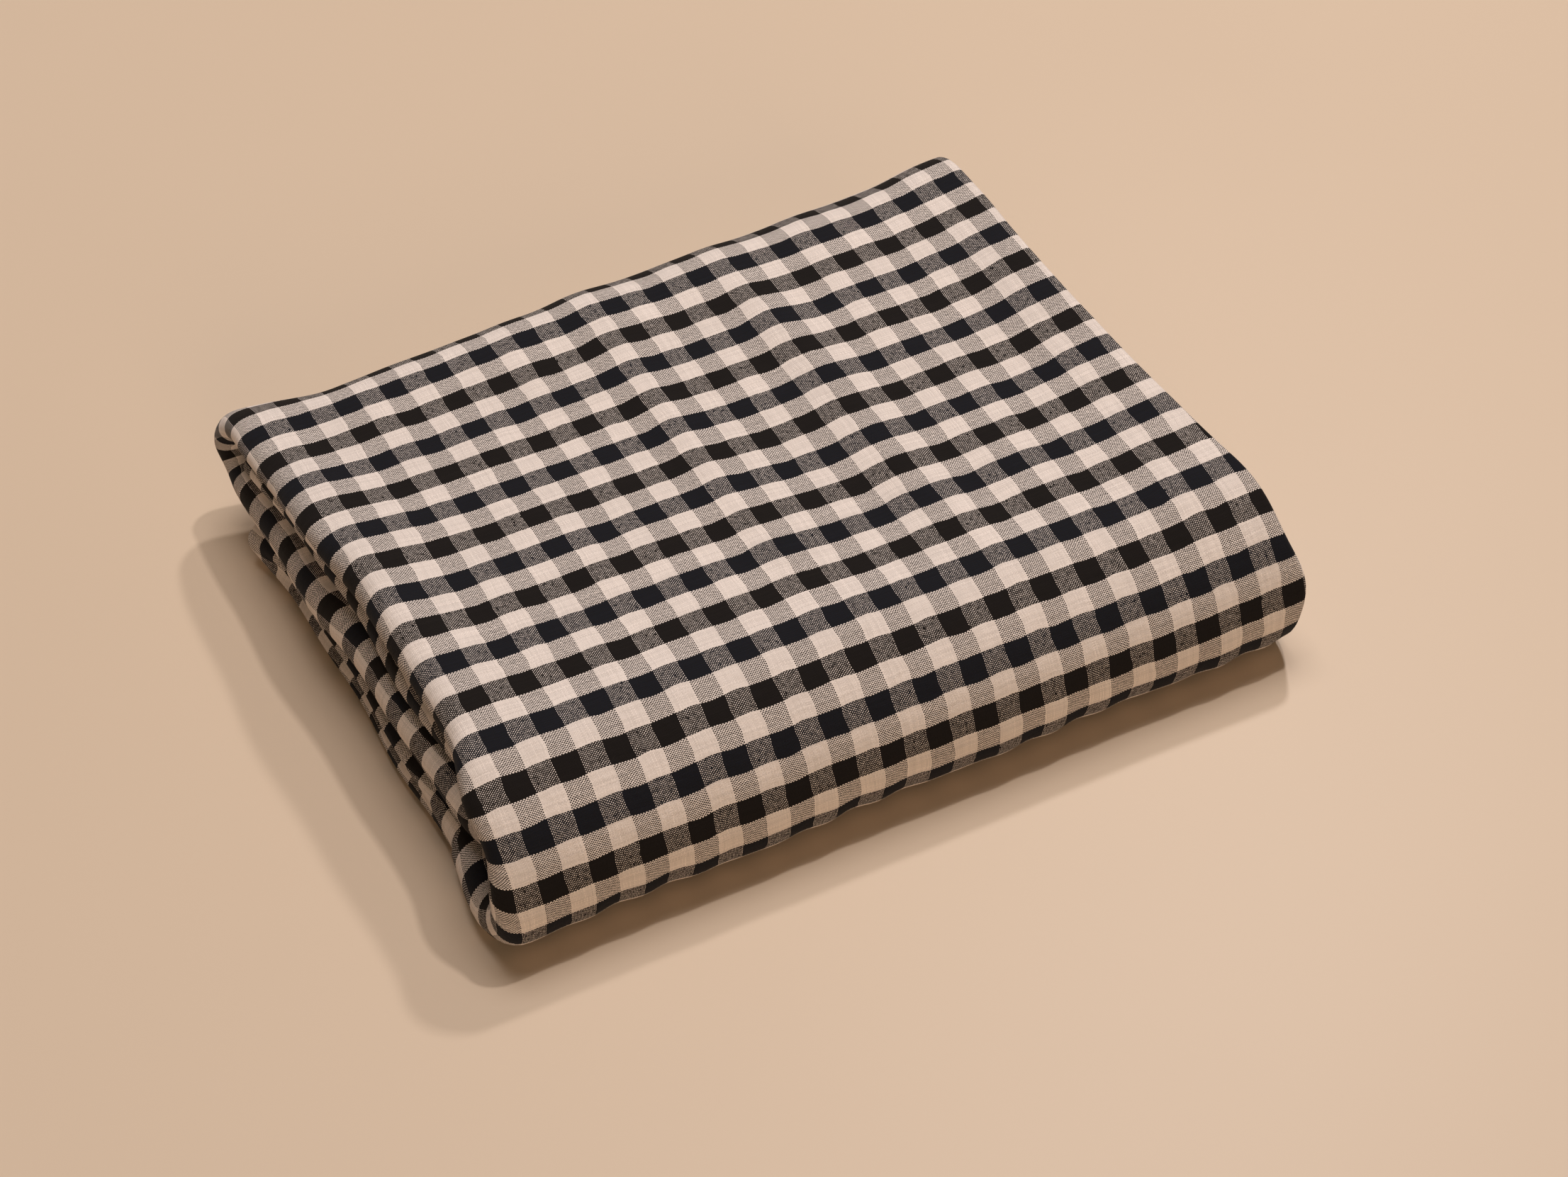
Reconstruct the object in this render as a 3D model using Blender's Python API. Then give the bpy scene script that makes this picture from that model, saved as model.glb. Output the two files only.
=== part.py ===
"""Folded length of yarn-dyed gingham cotton, rolled flat into a rectangular pack.

The cloth lies doubled, selvedge to selvedge. It is folded in half three times along its
length, so every part of the pack is sixteen layers of cloth: two stacks of eight, an outer
and an inner one, which meet at the last fold, at -X. The folded strip is then rolled flat
from its closed end: core leaf, core turn, middle leaf, back wrap, top leaf, front wrap and
bottom leaf, whose open end with the selvedges is tucked under the pack. At the very inside
the doubling fold closes the strip. Each stack of each leaf and turn is one solid.

Frame: X along the length of the cloth (the long side of the pack), Y from the tall front
wrap (-Y) to the back wrap (+Y), Z up from the surface that the pack rests on.
"""

import math

import bmesh
import bpy
from mathutils import Vector

# Driving dimensions, in metres.
PACK_DEPTH = 0.178          # front wrap to back wrap, along Y
TOP_WIDTH = 0.217           # side fold to side fold, along X
CORE_WIDTH = 0.210
MIDDLE_WIDTH = 0.215
BOTTOM_WIDTH = 0.214
TOP_STACK = 0.0044          # thickness of one stack of eight layers in the top leaf
CORE_STACK = 0.0034          # pressed flattest, at the inside
MIDDLE_STACK = 0.0066
BOTTOM_STACK = 0.0070
GAP = 0.0003                # clearance between neighbouring solids
STRAIGHT = 0.002            # straight run between a turn's rounding and its leaf
FRONT_TIP_SHARE = 0.37      # height of the front-most line, as a share of the wrap's height
BACK_TIP_SHARE = 0.45
CORE_TIP_SHARE = 0.40
FRONT_UPPER_REACH = 0.034   # length of the front wrap's upper rounding
FRONT_LOWER_REACH = 0.0175
BACK_UPPER_REACH = 0.018
BACK_LOWER_REACH = 0.018
CORE_CLEARANCE = 0.0058     # air in front of the core turn, inside the front wrap
CORE_LOWER_REACH = 0.0110
LOOP_REACH = 0.0050         # how far the doubling loop rounds out behind the core leaf
LOOP_TIP_SHARE = 0.5
TUCK_SHORTFALL = 0.004      # open end of the bottom leaf, short of the back leaf line
NOSE_INSET = 0.45           # rounding of a nose's sides, as a share of its half height

QUARTER_STEPS = 8           # facets in a quarter of a turn
NOSE_STEPS = 6              # facets round a side fold
SHARP_ANGLE = math.radians(40)
CLOTH_COLOUR = (0.33, 0.29, 0.27, 1.0)
CLOTH_ROUGHNESS = 0.9

# Levels that follow from the stacks: the underside of every pair, bottom to top.
BOTTOM_BASE = 0.0
MIDDLE_BASE = BOTTOM_BASE + 2 * (BOTTOM_STACK + GAP)
CORE_BASE = MIDDLE_BASE + 2 * (MIDDLE_STACK + GAP)
TOP_BASE = CORE_BASE + 2 * (CORE_STACK + GAP)
PACK_TOP = TOP_BASE + 2 * TOP_STACK + GAP
FRONT_TIP = -PACK_DEPTH / 2
BACK_TIP = PACK_DEPTH / 2
FRONT_LINE = FRONT_TIP + FRONT_UPPER_REACH + STRAIGHT
BACK_LINE = BACK_TIP - BACK_UPPER_REACH - STRAIGHT
CORE_TIP = FRONT_TIP + BOTTOM_STACK + TOP_STACK + 2 * GAP + CORE_CLEARANCE
CORE_UPPER_REACH = FRONT_LINE - STRAIGHT - CORE_TIP


def clear_scene():
    """Remove every object of the scene."""
    for obj in list(bpy.data.objects):
        bpy.data.objects.remove(obj, do_unlink=True)


def cloth_material(name):
    """Matt cotton, in the cloth's average colour."""
    material = bpy.data.materials.new(name)
    material.use_nodes = True
    shader = material.node_tree.nodes["Principled BSDF"]
    shader.inputs["Base Color"].default_value = CLOTH_COLOUR
    shader.inputs["Roughness"].default_value = CLOTH_ROUGHNESS
    shader.inputs["Metallic"].default_value = 0.0
    return material


def face_outwards(mesh):
    """Turn every face of a closed mesh outwards."""
    bm = bmesh.new()
    bm.from_mesh(mesh)
    bmesh.ops.recalc_face_normals(bm, faces=bm.faces)
    bm.to_mesh(mesh)
    bm.free()


def add_solid(name, rings):
    """Join closed rings of points, in order, into one capped solid named name."""
    count = len(rings[0])
    verts = [point for ring in rings for point in ring]
    faces = []
    for level in range(len(rings) - 1):
        for i in range(count):
            a = level * count + i
            b = level * count + (i + 1) % count
            faces.append((a, b, b + count, a + count))
    faces.append(tuple(reversed(range(count))))
    faces.append(tuple(range(len(verts) - count, len(verts))))
    mesh = bpy.data.meshes.new(name)
    mesh.from_pydata(verts, [], faces)
    face_outwards(mesh)
    mesh.shade_smooth()
    mesh.set_sharp_from_angle(angle=SHARP_ANGLE)
    obj = bpy.data.objects.new(name, mesh)
    obj.data.materials.append(cloth_material(name + "_cotton"))
    bpy.context.scene.collection.objects.link(obj)
    return obj


def stack_ring(origin, inward, near, far, width):
    """Cross-section of a stack: flat faces, and a side fold at each end along X.

    origin is a point on the outline, inward the unit normal there; the stack lies from
    near to far along that normal.
    """
    radius = (far - near) / 2
    middle = (far + near) / 2
    ring = []
    for side in (1, -1):
        for step in range(NOSE_STEPS + 1):
            angle = side * math.pi * (step / NOSE_STEPS - 0.5)
            x = side * (width / 2 - radius + radius * math.cos(angle))
            point = origin + inward * (middle + radius * math.sin(angle))
            ring.append((x, point.y, point.z))
    return ring


def turn_outline(tip, line, low, high, tip_share, lower_reach, upper_reach):
    """Outline of a turn in the YZ plane, from its lower leaf round the tip to the upper.

    Two quarter ellipses meet at the tip; straight runs join them to the leaf line.
    """
    side = 1 if line > tip else -1
    tip_level = low + tip_share * (high - low)
    points = [Vector((0, line, low))]
    quarters = (
        (lower_reach, tip_level - low, -1, range(QUARTER_STEPS + 1)),
        (upper_reach, high - tip_level, 1, range(QUARTER_STEPS - 1, -1, -1)),
    )
    for reach, rise, sense, steps in quarters:
        for step in steps:
            angle = math.pi / 2 * step / QUARTER_STEPS
            y = tip + side * reach * (1 - math.sin(angle))
            z = tip_level + sense * rise * math.cos(angle)
            points.append(Vector((0, y, z)))
    points.append(Vector((0, line, high)))
    return points


def inward_normals(points, line, tip):
    """Unit normals of an outline, pointing into the turn; straight up or down at its ends."""
    side = 1 if line > tip else -1
    normals = []
    for i in range(len(points)):
        before = points[max(i - 1, 0)]
        after = points[min(i + 1, len(points) - 1)]
        along = (after - before).normalized()
        normals.append(Vector((0, side * along.z, -side * along.y)))
    normals[0] = Vector((0, 0, 1))
    normals[-1] = Vector((0, 0, -1))
    return normals


def shares(points):
    """How far along the outline each point is, from 0 to 1."""
    lengths = [0.0]
    for before, after in zip(points, points[1:]):
        lengths.append(lengths[-1] + (after - before).length)
    return [length / lengths[-1] for length in lengths]


def mix(low, high, share):
    """Value at share of the way from low to high, eased at both ends."""
    eased = share * share * (3 - 2 * share)
    return low + (high - low) * eased


def offset_outline(points, line, tip, low, high):
    """The outline moved inwards, by low at its lower end and high at its upper end."""
    normals = inward_normals(points, line, tip)
    return [point + normal * mix(low, high, share)
            for point, normal, share in zip(points, normals, shares(points))]


def add_turn(name, outline, line, tip, stacks, widths, layer):
    """One stack of a turn: layer 0 lies on the outline, layer 1 inside it."""
    normals = inward_normals(outline, line, tip)
    rings = []
    for point, normal, share in zip(outline, normals, shares(outline)):
        stack = mix(stacks[0], stacks[1], share)
        near = layer * (stack + GAP)
        rings.append(stack_ring(point, normal, near, near + stack, mix(*widths, share)))
    return add_solid(name, rings)


def add_nose(name, outline, width, inset):
    """Solid fold with no room inside: the area within an outline, with rounded sides."""
    centre = (outline[0] + outline[-1]) / 2
    half = width / 2
    rings = []
    for side in (-1, 1):
        for step in range(NOSE_STEPS // 2 + 1):
            angle = math.pi / 2 * step / (NOSE_STEPS // 2)
            turn = math.pi / 2 - angle if side == -1 else angle
            scale = 1 - inset * (1 - math.cos(turn))
            x = side * (half - inset * (outline[-1] - centre).length * (1 - math.sin(turn)))
            rings.append((x, scale))
    rings.sort()
    solid = []
    for x, scale in rings:
        solid.append([(x, centre.y + (p.y - centre.y) * scale, centre.z + (p.z - centre.z) * scale)
                      for p in outline])
    return add_solid(name, solid)


def add_leaf(name, base, stack, front, back, width):
    """One flat stack of a leaf, from y = front to y = back."""
    up = Vector((0, 0, 1))
    rings = [stack_ring(Vector((0, y, base)), up, 0.0, stack, width) for y in (front, back)]
    return add_solid(name, rings)


def add_leaves():
    """The four leaves, each a pair of stacks, outer and inner."""
    front = FRONT_LINE + GAP / 2
    back = BACK_LINE - GAP / 2
    tucked = BACK_LINE - TUCK_SHORTFALL
    pairs = (
        ("bottom_leaf", ("outer", "inner"), BOTTOM_BASE, BOTTOM_STACK, BOTTOM_WIDTH, tucked),
        ("middle_leaf", ("outer", "inner"), MIDDLE_BASE, MIDDLE_STACK, MIDDLE_WIDTH, back),
        ("core_leaf", ("inner", "outer"), CORE_BASE, CORE_STACK, CORE_WIDTH, back),
        ("top_leaf", ("inner", "outer"), TOP_BASE, TOP_STACK, TOP_WIDTH, back),
    )
    for name, order, base, stack, width, end in pairs:
        for layer, stack_name in enumerate(order):
            level = base + layer * (stack + GAP)
            add_leaf(f"{name}_{stack_name}", level, stack, front, end, width)


def add_wraps():
    """The front wrap, bottom leaf to top leaf, and the back wrap, middle leaf to top leaf."""
    front = turn_outline(FRONT_TIP, FRONT_LINE - GAP / 2, BOTTOM_BASE, PACK_TOP,
                         FRONT_TIP_SHARE, FRONT_LOWER_REACH, FRONT_UPPER_REACH)
    back = turn_outline(BACK_TIP, BACK_LINE + GAP / 2, MIDDLE_BASE, PACK_TOP,
                        BACK_TIP_SHARE, BACK_LOWER_REACH, BACK_UPPER_REACH)
    for layer, stack_name in enumerate(("outer", "inner")):
        add_turn(f"front_wrap_{stack_name}", front, FRONT_LINE, FRONT_TIP,
                 (BOTTOM_STACK, TOP_STACK), (BOTTOM_WIDTH, TOP_WIDTH), layer)
        add_turn(f"back_wrap_{stack_name}", back, BACK_LINE, BACK_TIP,
                 (MIDDLE_STACK, TOP_STACK), (MIDDLE_WIDTH, TOP_WIDTH), layer)


def add_core():
    """The core turn, middle leaf to core leaf, and the doubling loop at the inside."""
    line = FRONT_LINE - GAP / 2
    outline = turn_outline(CORE_TIP, line, MIDDLE_BASE, TOP_BASE - GAP,
                           CORE_TIP_SHARE, CORE_LOWER_REACH, CORE_UPPER_REACH)
    add_turn("core_turn_outer", outline, line, CORE_TIP,
             (MIDDLE_STACK, CORE_STACK), (MIDDLE_WIDTH, CORE_WIDTH), 0)
    inner = offset_outline(outline, line, CORE_TIP, MIDDLE_STACK + GAP, CORE_STACK + GAP)
    add_nose("core_turn_inner", inner, CORE_WIDTH, NOSE_INSET)
    line = BACK_LINE + GAP / 2
    loop = turn_outline(line + LOOP_REACH, line, CORE_BASE, TOP_BASE - GAP,
                        LOOP_TIP_SHARE, LOOP_REACH, LOOP_REACH)
    add_nose("core_end_loop", loop[1:-1], CORE_WIDTH, NOSE_INSET)


def main():
    """Build the pack."""
    clear_scene()
    add_leaves()
    add_wraps()
    add_core()


main()
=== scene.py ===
"""Folded length of gingham cotton: a doubled cloth, folded three times, then rolled flat."""
import logging
import math
from dataclasses import dataclass, field
from enum import Enum

import bpy
import numpy as np
from mathutils import Matrix, Vector


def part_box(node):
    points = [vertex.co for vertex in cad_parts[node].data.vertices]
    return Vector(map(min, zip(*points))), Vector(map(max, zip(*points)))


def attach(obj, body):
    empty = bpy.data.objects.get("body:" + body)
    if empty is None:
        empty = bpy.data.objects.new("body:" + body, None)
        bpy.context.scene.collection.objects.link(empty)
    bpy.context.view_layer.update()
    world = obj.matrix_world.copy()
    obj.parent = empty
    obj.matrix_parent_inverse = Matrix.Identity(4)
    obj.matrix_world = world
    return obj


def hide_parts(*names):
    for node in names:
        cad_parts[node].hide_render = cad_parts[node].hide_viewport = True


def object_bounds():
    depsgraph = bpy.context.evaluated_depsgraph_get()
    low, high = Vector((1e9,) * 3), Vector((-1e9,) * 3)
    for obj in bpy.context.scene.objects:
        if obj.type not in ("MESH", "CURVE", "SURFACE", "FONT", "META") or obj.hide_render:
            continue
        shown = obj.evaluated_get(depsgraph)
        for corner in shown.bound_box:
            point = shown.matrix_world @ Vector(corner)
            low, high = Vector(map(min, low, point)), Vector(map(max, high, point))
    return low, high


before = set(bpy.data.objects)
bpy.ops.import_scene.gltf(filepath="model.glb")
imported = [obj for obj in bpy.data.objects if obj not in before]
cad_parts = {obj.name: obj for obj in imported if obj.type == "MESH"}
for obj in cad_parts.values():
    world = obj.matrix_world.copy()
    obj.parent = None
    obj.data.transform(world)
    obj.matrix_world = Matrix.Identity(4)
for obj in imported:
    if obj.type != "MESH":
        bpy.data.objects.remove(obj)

log = logging.getLogger("folded_gingham")

CAD_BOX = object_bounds()

CHECK = 0.00635               # one check of the gingham, a quarter of an inch
PATTERN_SHIFT = (1.4, 6.1)    # the pattern's offset from the frame's origin, in checks
CLOTH_THICKNESS = 0.00028
PLIES = 16                    # layers in every leaf and turn
FACE_LAYERS = (0, PLIES - 1)  # the outermost layer and the innermost one
UV_NAME = "cloth_uv"
TINY = 1e-12                  # keeps a division away from zero


class Yarn(Enum):
    """Dyed cotton yarns of the cloth, as linear RGB."""

    CREAM = (0.815, 0.725, 0.680)
    BLACK = (0.0105, 0.0080, 0.0075)
    NAVY = (0.0085, 0.0095, 0.0150)


class Run(Enum):
    """The stretches of the roll, from the tucked selvedges to the doubling fold."""

    BOTTOM = "bottom_leaf"
    FRONT = "front_wrap"
    TOP = "top_leaf"
    BACK = "back_wrap"
    MIDDLE = "middle_leaf"
    CORE_TURN = "core_turn"
    CORE = "core_leaf"


class Bend(Enum):
    """What joins one pass of the cloth to the next one."""

    SIDE = "last fold, at the -X end"
    SECOND = "second fold, at the +X end"
    FIRST = "first fold, at the +X end"


def smoothstep(low: float, high: float, value: np.ndarray) -> np.ndarray:
    """Ease from 0 to 1.

    Args:
        low: Where the result leaves 0.
        high: Where the result reaches 1.
        value: Numbers to ease.

    Returns:
        Numbers from 0 to 1.
    """
    share = np.clip((value - low) / (high - low), 0.0, 1.0)
    return share * share * (3.0 - 2.0 * share)


def bump(value: np.ndarray, centre: float, spread: float) -> np.ndarray:
    """Bell curve that is 1 at its centre."""
    return np.exp(-((value - centre) / spread) ** 2)


class Shader:
    """Small helper that adds nodes to a material and links them."""

    def __init__(self, name: str) -> None:
        """Start an empty node material with one output."""
        self.material = bpy.data.materials.new(name)
        self.material.use_nodes = True
        self.tree = self.material.node_tree
        self.tree.nodes.clear()
        self.output = self.tree.nodes.new("ShaderNodeOutputMaterial")

    def node(self, kind: str, **settings: object) -> bpy.types.Node:
        """Add one node.

        Args:
            kind: Node type, such as ShaderNodeMath.
            settings: Properties of the node.

        Returns:
            The new node.
        """
        made = self.tree.nodes.new(kind)
        for key, value in settings.items():
            setattr(made, key, value)
        return made

    def feed(self, socket: bpy.types.NodeSocket, value: object) -> None:
        """Link a socket to another, or set its number or colour.

        Args:
            socket: Input to feed.
            value: Output to link, or a number or a colour.
        """
        if isinstance(value, bpy.types.NodeSocket):
            self.tree.links.new(value, socket)
        elif isinstance(value, tuple) and len(value) == 3 and len(socket.default_value) == 4:
            socket.default_value = (*value, 1.0)
        else:
            socket.default_value = value

    def math(self, operation: str, *values: object,
             clamp: bool = False) -> bpy.types.NodeSocket:
        """Arithmetic on numbers or sockets.

        Args:
            operation: Operation of a Math node.
            values: Its inputs, in order.
            clamp: Keep the result from 0 to 1.

        Returns:
            The result's socket.
        """
        made = self.node("ShaderNodeMath", operation=operation, use_clamp=clamp)
        for socket, value in zip(made.inputs, values):
            self.feed(socket, value)
        return made.outputs[0]

    def blend(self, share: object, first: object, second: object) -> bpy.types.NodeSocket:
        """Mix two colours.

        Args:
            share: How much of the second.
            first: Colour or socket.
            second: Colour or socket.

        Returns:
            The mixed colour's socket.
        """
        made = self.node("ShaderNodeMix", data_type="RGBA")
        self.feed(made.inputs["Factor"], share)
        self.feed(made.inputs[6], first)
        self.feed(made.inputs[7], second)
        return made.outputs[2]

    def noise(self, vector: object, scale: float, detail: float,
              roughness: float = 0.5) -> bpy.types.NodeSocket:
        """Noise texture's value.

        Args:
            vector: Coordinates.
            scale: Features per metre.
            detail: Octaves.
            roughness: Strength of the finer octaves.

        Returns:
            Socket of the noise, about 0.5 on average.
        """
        made = self.node("ShaderNodeTexNoise", noise_dimensions="3D")
        self.feed(made.inputs["Vector"], vector)
        self.feed(made.inputs["Scale"], scale)
        self.feed(made.inputs["Detail"], detail)
        self.feed(made.inputs["Roughness"], roughness)
        return made.outputs["Fac"]

    def combine(self, x: object, y: object, z: object = 0.0) -> bpy.types.NodeSocket:
        """Vector made of three numbers or sockets.

        Args:
            x: First part.
            y: Second part.
            z: Third part.

        Returns:
            The vector's socket.
        """
        made = self.node("ShaderNodeCombineXYZ")
        for socket, value in zip(made.inputs, (x, y, z)):
            self.feed(socket, value)
        return made.outputs[0]

    def swing(self, vector: object, scale: float, detail: float,
              roughness: float = 0.5) -> bpy.types.NodeSocket:
        """Noise that swings about zero, with the arguments of noise."""
        return self.math("SUBTRACT", self.noise(vector, scale, detail, roughness), 0.5)

    def ripple(self, place: object, height: float, base: object) -> bpy.types.NodeSocket:
        """Add a cosine whose half wave is one unit long.

        Args:
            place: Where on the wave.
            height: Height of the wave.
            base: What the wave is added to.

        Returns:
            The sum's socket.
        """
        wave = self.math("COSINE", self.math("MULTIPLY", place, math.pi))
        return self.math("MULTIPLY_ADD", wave, height, base)

    def bump(self, height: object, depth: float, strength: float) -> bpy.types.Node:
        """Add a bump node.

        Args:
            height: Relief, 0 to 1.
            depth: Depth of the relief, in metres.
            strength: How much of it shows.

        Returns:
            The bump node.
        """
        made = self.node("ShaderNodeBump")
        made.inputs["Strength"].default_value = strength
        made.inputs["Distance"].default_value = depth
        self.feed(made.inputs["Height"], height)
        return made


@dataclass(frozen=True)
class GinghamFinish:
    """Plain-woven, yarn-dyed cotton with a two-tone check.

    The pattern is read from the cloth's own UV map in metres: U along the cloth's length,
    V across it. Threads that run along V make the columns, threads along U the rows.
    """

    name: str = "gingham_cotton"
    column_threads: int = 17        # in one check
    row_threads: int = 21
    column_seed: float = 11.3
    row_seed: float = 57.9
    drift: float = 0.16             # how far the stripes wander, in checks
    drift_scales: tuple = (190.0, 170.0)
    column_ripple: float = -0.022   # bend of a stripe in the dark stripes that cross it
    row_ripple: float = -0.022
    own_tone: tuple = (0.20, 0.90)  # span and least value, here and in the next three
    slub_tone: tuple = (0.40, 0.80)
    # painted shade: the colour darkens in the gaps between the threads
    gap_shade_tone: tuple = (0.22, 0.84)
    cloud_tone: tuple = (0.14, 0.93)
    cloud_scale: float = 55.0
    cover: tuple = (0.56, 0.24)     # rise that shows a column thread: extra if dark, and base
    unevenness: float = 1.3
    uneven_scale: float = 900.0
    fleck: float = 1.5
    fleck_scale: float = 1500.0
    lint_colour: tuple = (0.30, 0.27, 0.25)
    lint_strength: float = 0.10
    roughness: float = 0.88
    sheen: float = 0.04
    sheen_roughness: float = 0.5
    specular: float = 0.14
    weave_depth: float = 0.00007
    weave_strength: float = 0.6
    crease_depth: float = 0.00035
    crease_strength: float = 0.55
    crease_scale: float = 420.0

    def stripes(self, shader: Shader, thread: object, per_check: int) -> tuple:
        """Which stripe a thread belongs to.

        Args:
            shader: Material in the making.
            thread: Whole number of the thread.
            per_check: Threads in one check.

        Returns:
            Sockets: 1 in a dark stripe; 1 in every second dark stripe.
        """
        middle = shader.math("ADD", thread, 0.5)
        stripe = shader.math("FLOOR", shader.math("ADD", shader.math(
            "DIVIDE", middle, float(per_check)), 0.5))
        dark = shader.math("FLOORED_MODULO", stripe, 2.0)
        quarter = shader.math("FLOORED_MODULO", stripe, 4.0)
        second = shader.math("COMPARE", quarter, 1.0, 0.1)
        return dark, second

    def thread_tone(self, shader: Shader, thread: object, along: object,
                    seed: float) -> bpy.types.NodeSocket:
        """Brightness of one thread, with slubs along it.

        Args:
            shader: Material in the making.
            thread: Whole number of the thread.
            along: Place along the thread, in checks.
            seed: Keeps the two sets of threads apart.

        Returns:
            Factor near 1.
        """
        own = shader.node("ShaderNodeTexWhiteNoise", noise_dimensions="1D")
        shader.feed(own.inputs["W"], shader.math("ADD", thread, seed))
        slub = shader.noise(shader.combine(shader.math("MULTIPLY", thread, 3.7),
                                           shader.math("MULTIPLY", along, 0.55), seed), 1.0, 2.0)
        tone = shader.math("MULTIPLY_ADD", own.outputs["Value"], *self.own_tone)
        return shader.math("MULTIPLY", tone,
                           shader.math("MULTIPLY_ADD", slub, *self.slub_tone))

    def rise(self, shader: Shader, place: object, thread: object) -> bpy.types.NodeSocket:
        """Height across a thread: 0 at its sides and 1 along its middle.

        Args:
            shader: Material in the making.
            place: Place across the threads, in threads.
            thread: Whole number of the thread.

        Returns:
            The height's socket.
        """
        across = shader.math("SUBTRACT", place, thread)
        return shader.math("SINE", shader.math("MULTIPLY", across, math.pi))

    def build(self) -> bpy.types.Material:
        """Make the material.

        Returns:
            The finished material.
        """
        shader = Shader(self.name)
        uv = shader.node("ShaderNodeUVMap", uv_map=UV_NAME).outputs["UV"]
        split = shader.node("ShaderNodeSeparateXYZ")
        shader.feed(split.inputs[0], uv)
        column_scale, row_scale = self.drift_scales
        drift = shader.swing(uv, column_scale, 2.0)
        drift_rows = shader.swing(shader.combine(split.outputs["Y"], split.outputs["X"], 0.7),
                                  row_scale, 2.0)
        plain_across = shader.math("DIVIDE", split.outputs["X"], CHECK)
        plain_along = shader.math("DIVIDE", split.outputs["Y"], CHECK)
        across = shader.math("ADD", plain_across, shader.math("MULTIPLY", drift, self.drift))
        across = shader.ripple(plain_along, self.column_ripple, across)
        along = shader.math("ADD", plain_along, shader.math("MULTIPLY", drift_rows, self.drift))
        along = shader.ripple(plain_across, self.row_ripple, along)
        column_place = shader.math("MULTIPLY", across, float(self.column_threads))
        row_place = shader.math("MULTIPLY", along, float(self.row_threads))
        column = shader.math("FLOOR", column_place)
        row = shader.math("FLOOR", row_place)
        column_wave = self.rise(shader, column_place, column)
        row_wave = self.rise(shader, row_place, row)
        dark_column, _ = self.stripes(shader, column, self.column_threads)
        dark_row, navy_row = self.stripes(shader, row, self.row_threads)
        column_tone = self.thread_tone(shader, column, along, self.column_seed)
        row_tone = self.thread_tone(shader, row, across, self.row_seed)
        column_colour = shader.blend(dark_column, Yarn.CREAM.value, Yarn.BLACK.value)
        row_dye = shader.blend(navy_row, Yarn.BLACK.value, Yarn.NAVY.value)
        row_colour = shader.blend(dark_row, Yarn.CREAM.value, row_dye)
        under = shader.math("FLOORED_MODULO", shader.math("ADD", column, row), 2.0)
        uneven = shader.swing(uv, self.uneven_scale, 3.0, 0.75)
        cover = shader.math("MULTIPLY_ADD", uneven, self.unevenness,
                            shader.math("MULTIPLY_ADD", dark_row, *self.cover))
        rises = shader.math("GREATER_THAN", column_wave, cover)
        shown = shader.math("MULTIPLY", rises, shader.math("SUBTRACT", 1.0, under))
        colour = shader.blend(shown, row_colour, column_colour)
        tone = shader.math("ADD", shader.math("MULTIPLY", shown, column_tone), shader.math(
            "MULTIPLY", shader.math("SUBTRACT", 1.0, shown), row_tone))
        relief = shader.math("MULTIPLY", shader.math("ADD", column_wave, row_wave), 0.5)
        # painted shade: the tone drops where the weave's relief is low, between the threads
        gap_shade = shader.math("MULTIPLY_ADD", relief, *self.gap_shade_tone)
        cloud = shader.math("MULTIPLY_ADD", shader.noise(uv, self.cloud_scale, 3.0),
                            *self.cloud_tone)
        tone = shader.math("MULTIPLY", shader.math("MULTIPLY", tone, gap_shade), cloud)
        mixed = shader.math("ABSOLUTE", shader.math("SUBTRACT", dark_column, dark_row))
        specks = shader.swing(uv, self.fleck_scale, 2.0, 0.7)
        tone = shader.math("MULTIPLY", tone, shader.math("MULTIPLY_ADD", shader.math(
            "MULTIPLY", mixed, specks), self.fleck, 1.0))
        scaled = shader.node("ShaderNodeVectorMath", operation="SCALE")
        shader.feed(scaled.inputs[0], colour)
        shader.feed(scaled.inputs["Scale"], tone)
        lint = self.lint(shader, split)
        faded = shader.blend(lint, scaled.outputs[0], self.lint_colour)
        weave = shader.bump(relief, self.weave_depth, self.weave_strength)
        creases = shader.bump(shader.noise(uv, self.crease_scale, 3.0, 0.45),
                              self.crease_depth, self.crease_strength)
        shader.feed(creases.inputs["Normal"], weave.outputs["Normal"])
        cloth = shader.node("ShaderNodeBsdfPrincipled")
        shader.feed(cloth.inputs["Base Color"], faded)
        for socket, value in (("Roughness", self.roughness),
                              ("Specular IOR Level", self.specular),
                              ("Sheen Weight", self.sheen),
                              ("Sheen Roughness", self.sheen_roughness)):
            cloth.inputs[socket].default_value = value
        shader.feed(cloth.inputs["Normal"], creases.outputs["Normal"])
        shader.feed(shader.output.inputs["Surface"], cloth.outputs["BSDF"])
        return shader.material

    def lint(self, shader: Shader, split: bpy.types.Node) -> bpy.types.NodeSocket:
        """Stray fibres that lie on the cloth.

        Args:
            shader: Material in the making.
            split: Separate XYZ node of the UV map.

        Returns:
            How much fibre shows, from 0 to the lint's strength.
        """
        warp = shader.noise(shader.combine(split.outputs["Y"], split.outputs["X"]), 300.0, 2.0)
        bent = shader.math("MULTIPLY_ADD", warp, 0.004, split.outputs["Y"])
        strands = shader.noise(shader.combine(
            shader.math("MULTIPLY", split.outputs["X"], 160.0),
            shader.math("MULTIPLY", bent, 1500.0)), 1.0, 1.0)
        peak = shader.math("SUBTRACT", strands, 0.78)
        return shader.math("MULTIPLY", shader.math("MULTIPLY", peak, 4.0, clamp=True),
                           self.lint_strength)


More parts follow.
